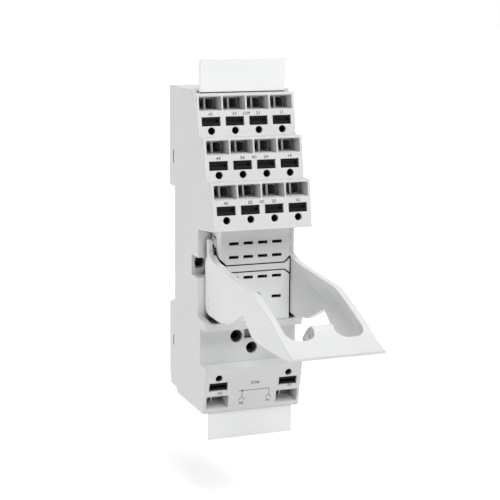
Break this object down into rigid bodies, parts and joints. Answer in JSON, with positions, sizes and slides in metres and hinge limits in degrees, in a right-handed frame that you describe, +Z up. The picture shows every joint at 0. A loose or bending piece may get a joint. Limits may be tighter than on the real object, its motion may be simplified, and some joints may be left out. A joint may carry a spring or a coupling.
{
  "type": "relay socket",
  "caption": "Push-in relay socket for a 35 mm rail: stepped terminal rows with black release buttons, bladed contact block, swing-up retaining clip, module recess and marker plates.",
  "frame": {"origin": "middle of the rail seat: mid-width, on the front face of the rail's lips, half-way between the rail's two edges", "axes": "+X to the right seen from the front, +Y into the panel behind the rail, +Z up"},
  "size_m": [0.031, 0.0957, 0.1143],
  "materials": {
    "shell": "fine matt moulded, light grey",
    "cover": "fine matt moulded, light grey",
    "clip": "satin moulded, light grey",
    "marker": "smooth moulded, white",
    "button": "satin moulded, black",
    "contact": "stamped strip, tinned where it is touched",
    "spring": "bright spring steel"
  },
  "bodies": {
    "socket": {"housing": "shell", "rear_cover": "cover", "upper_contact_cover": "shell", "lower_contact_cover": "shell", "top_marker": "marker", "bottom_marker": "marker", "latch_spring": "spring", "module_contact_1": "contact", "module_contact_2": "contact", "clamp_spring_41": "spring", "clamp_spring_31": "spring", "clamp_spring_21": "spring", "clamp_spring_11": "spring", "clamp_spring_44": "spring", "clamp_spring_34": "spring", "clamp_spring_24": "spring", "clamp_spring_14": "spring", "clamp_spring_42": "spring", "clamp_spring_32": "spring", "clamp_spring_22": "spring", "clamp_spring_12": "spring", "clamp_spring_A2": "spring", "clamp_spring_A1": "spring", "contact_rail_41": "contact", "contact_rail_31": "contact", "contact_rail_21": "contact", "contact_rail_11": "contact", "contact_rail_44": "contact", "contact_rail_34": "contact", "contact_rail_24": "contact", "contact_rail_14": "contact", "contact_rail_42": "contact", "contact_rail_32": "contact", "contact_rail_22": "contact", "contact_rail_12": "contact", "contact_rail_A2": "contact", "contact_rail_A1": "contact"},
    "clip": {"retaining_clip": "clip"},
    "latch": {"rail_latch": "cover"},
    "button_41": {"release_button_41": "button"},
    "button_31": {"release_button_31": "button"},
    "button_21": {"release_button_21": "button"},
    "button_11": {"release_button_11": "button"},
    "button_44": {"release_button_44": "button"},
    "button_34": {"release_button_34": "button"},
    "button_24": {"release_button_24": "button"},
    "button_14": {"release_button_14": "button"},
    "button_42": {"release_button_42": "button"},
    "button_32": {"release_button_32": "button"},
    "button_22": {"release_button_22": "button"},
    "button_12": {"release_button_12": "button"},
    "button_A2": {"release_button_A2": "button"},
    "button_A1": {"release_button_A1": "button"}
  },
  "joints": [
    {"name": "clip_hinge", "type": "hinge", "parent": "socket", "child": "clip", "pos_m": [0, -0.0249, 0.0046], "axis": [-1, 0, 0], "range_deg": [0, 45]},
    {"name": "latch_slide", "type": "slide", "parent": "socket", "child": "latch", "axis": [0, 0, -1], "range_m": [0, 0.003], "stiffness_N_per_m": 400, "springref_m": -0.004, "deforming": ["latch_spring"]},
    {"name": "button_41_press", "type": "slide", "parent": "socket", "child": "button_41", "axis": [0, 0.9869, -0.1616], "range_m": [0, 0.0016], "stiffness_N_per_m": 500, "springref_m": -0.0016, "deforming": ["clamp_spring_41"]},
    {"name": "button_31_press", "type": "slide", "parent": "socket", "child": "button_31", "axis": [0, 0.9869, -0.1616], "range_m": [0, 0.0016], "stiffness_N_per_m": 500, "springref_m": -0.0016, "deforming": ["clamp_spring_31"]},
    {"name": "button_21_press", "type": "slide", "parent": "socket", "child": "button_21", "axis": [0, 0.9869, -0.1616], "range_m": [0, 0.0016], "stiffness_N_per_m": 500, "springref_m": -0.0016, "deforming": ["clamp_spring_21"]},
    {"name": "button_11_press", "type": "slide", "parent": "socket", "child": "button_11", "axis": [0, 0.9869, -0.1616], "range_m": [0, 0.0016], "stiffness_N_per_m": 500, "springref_m": -0.0016, "deforming": ["clamp_spring_11"]},
    {"name": "button_44_press", "type": "slide", "parent": "socket", "child": "button_44", "axis": [0, 0.9869, -0.1616], "range_m": [0, 0.0016], "stiffness_N_per_m": 500, "springref_m": -0.0016, "deforming": ["clamp_spring_44"]},
    {"name": "button_34_press", "type": "slide", "parent": "socket", "child": "button_34", "axis": [0, 0.9869, -0.1616], "range_m": [0, 0.0016], "stiffness_N_per_m": 500, "springref_m": -0.0016, "deforming": ["clamp_spring_34"]},
    {"name": "button_24_press", "type": "slide", "parent": "socket", "child": "button_24", "axis": [0, 0.9869, -0.1616], "range_m": [0, 0.0016], "stiffness_N_per_m": 500, "springref_m": -0.0016, "deforming": ["clamp_spring_24"]},
    {"name": "button_14_press", "type": "slide", "parent": "socket", "child": "button_14", "axis": [0, 0.9869, -0.1616], "range_m": [0, 0.0016], "stiffness_N_per_m": 500, "springref_m": -0.0016, "deforming": ["clamp_spring_14"]},
    {"name": "button_42_press", "type": "slide", "parent": "socket", "child": "button_42", "axis": [0, 0.9869, -0.1616], "range_m": [0, 0.0016], "stiffness_N_per_m": 500, "springref_m": -0.0016, "deforming": ["clamp_spring_42"]},
    {"name": "button_32_press", "type": "slide", "parent": "socket", "child": "button_32", "axis": [0, 0.9869, -0.1616], "range_m": [0, 0.0016], "stiffness_N_per_m": 500, "springref_m": -0.0016, "deforming": ["clamp_spring_32"]},
    {"name": "button_22_press", "type": "slide", "parent": "socket", "child": "button_22", "axis": [0, 0.9869, -0.1616], "range_m": [0, 0.0016], "stiffness_N_per_m": 500, "springref_m": -0.0016, "deforming": ["clamp_spring_22"]},
    {"name": "button_12_press", "type": "slide", "parent": "socket", "child": "button_12", "axis": [0, 0.9869, -0.1616], "range_m": [0, 0.0016], "stiffness_N_per_m": 500, "springref_m": -0.0016, "deforming": ["clamp_spring_12"]},
    {"name": "button_A2_press", "type": "slide", "parent": "socket", "child": "button_A2", "axis": [0, 0.9789, 0.2042], "range_m": [0, 0.0016], "stiffness_N_per_m": 500, "springref_m": -0.0016, "deforming": ["clamp_spring_A2"]},
    {"name": "button_A1_press", "type": "slide", "parent": "socket", "child": "button_A1", "axis": [0, 0.9789, 0.2042], "range_m": [0, 0.0016], "stiffness_N_per_m": 500, "springref_m": -0.0016, "deforming": ["clamp_spring_A1"]}
  ]
}
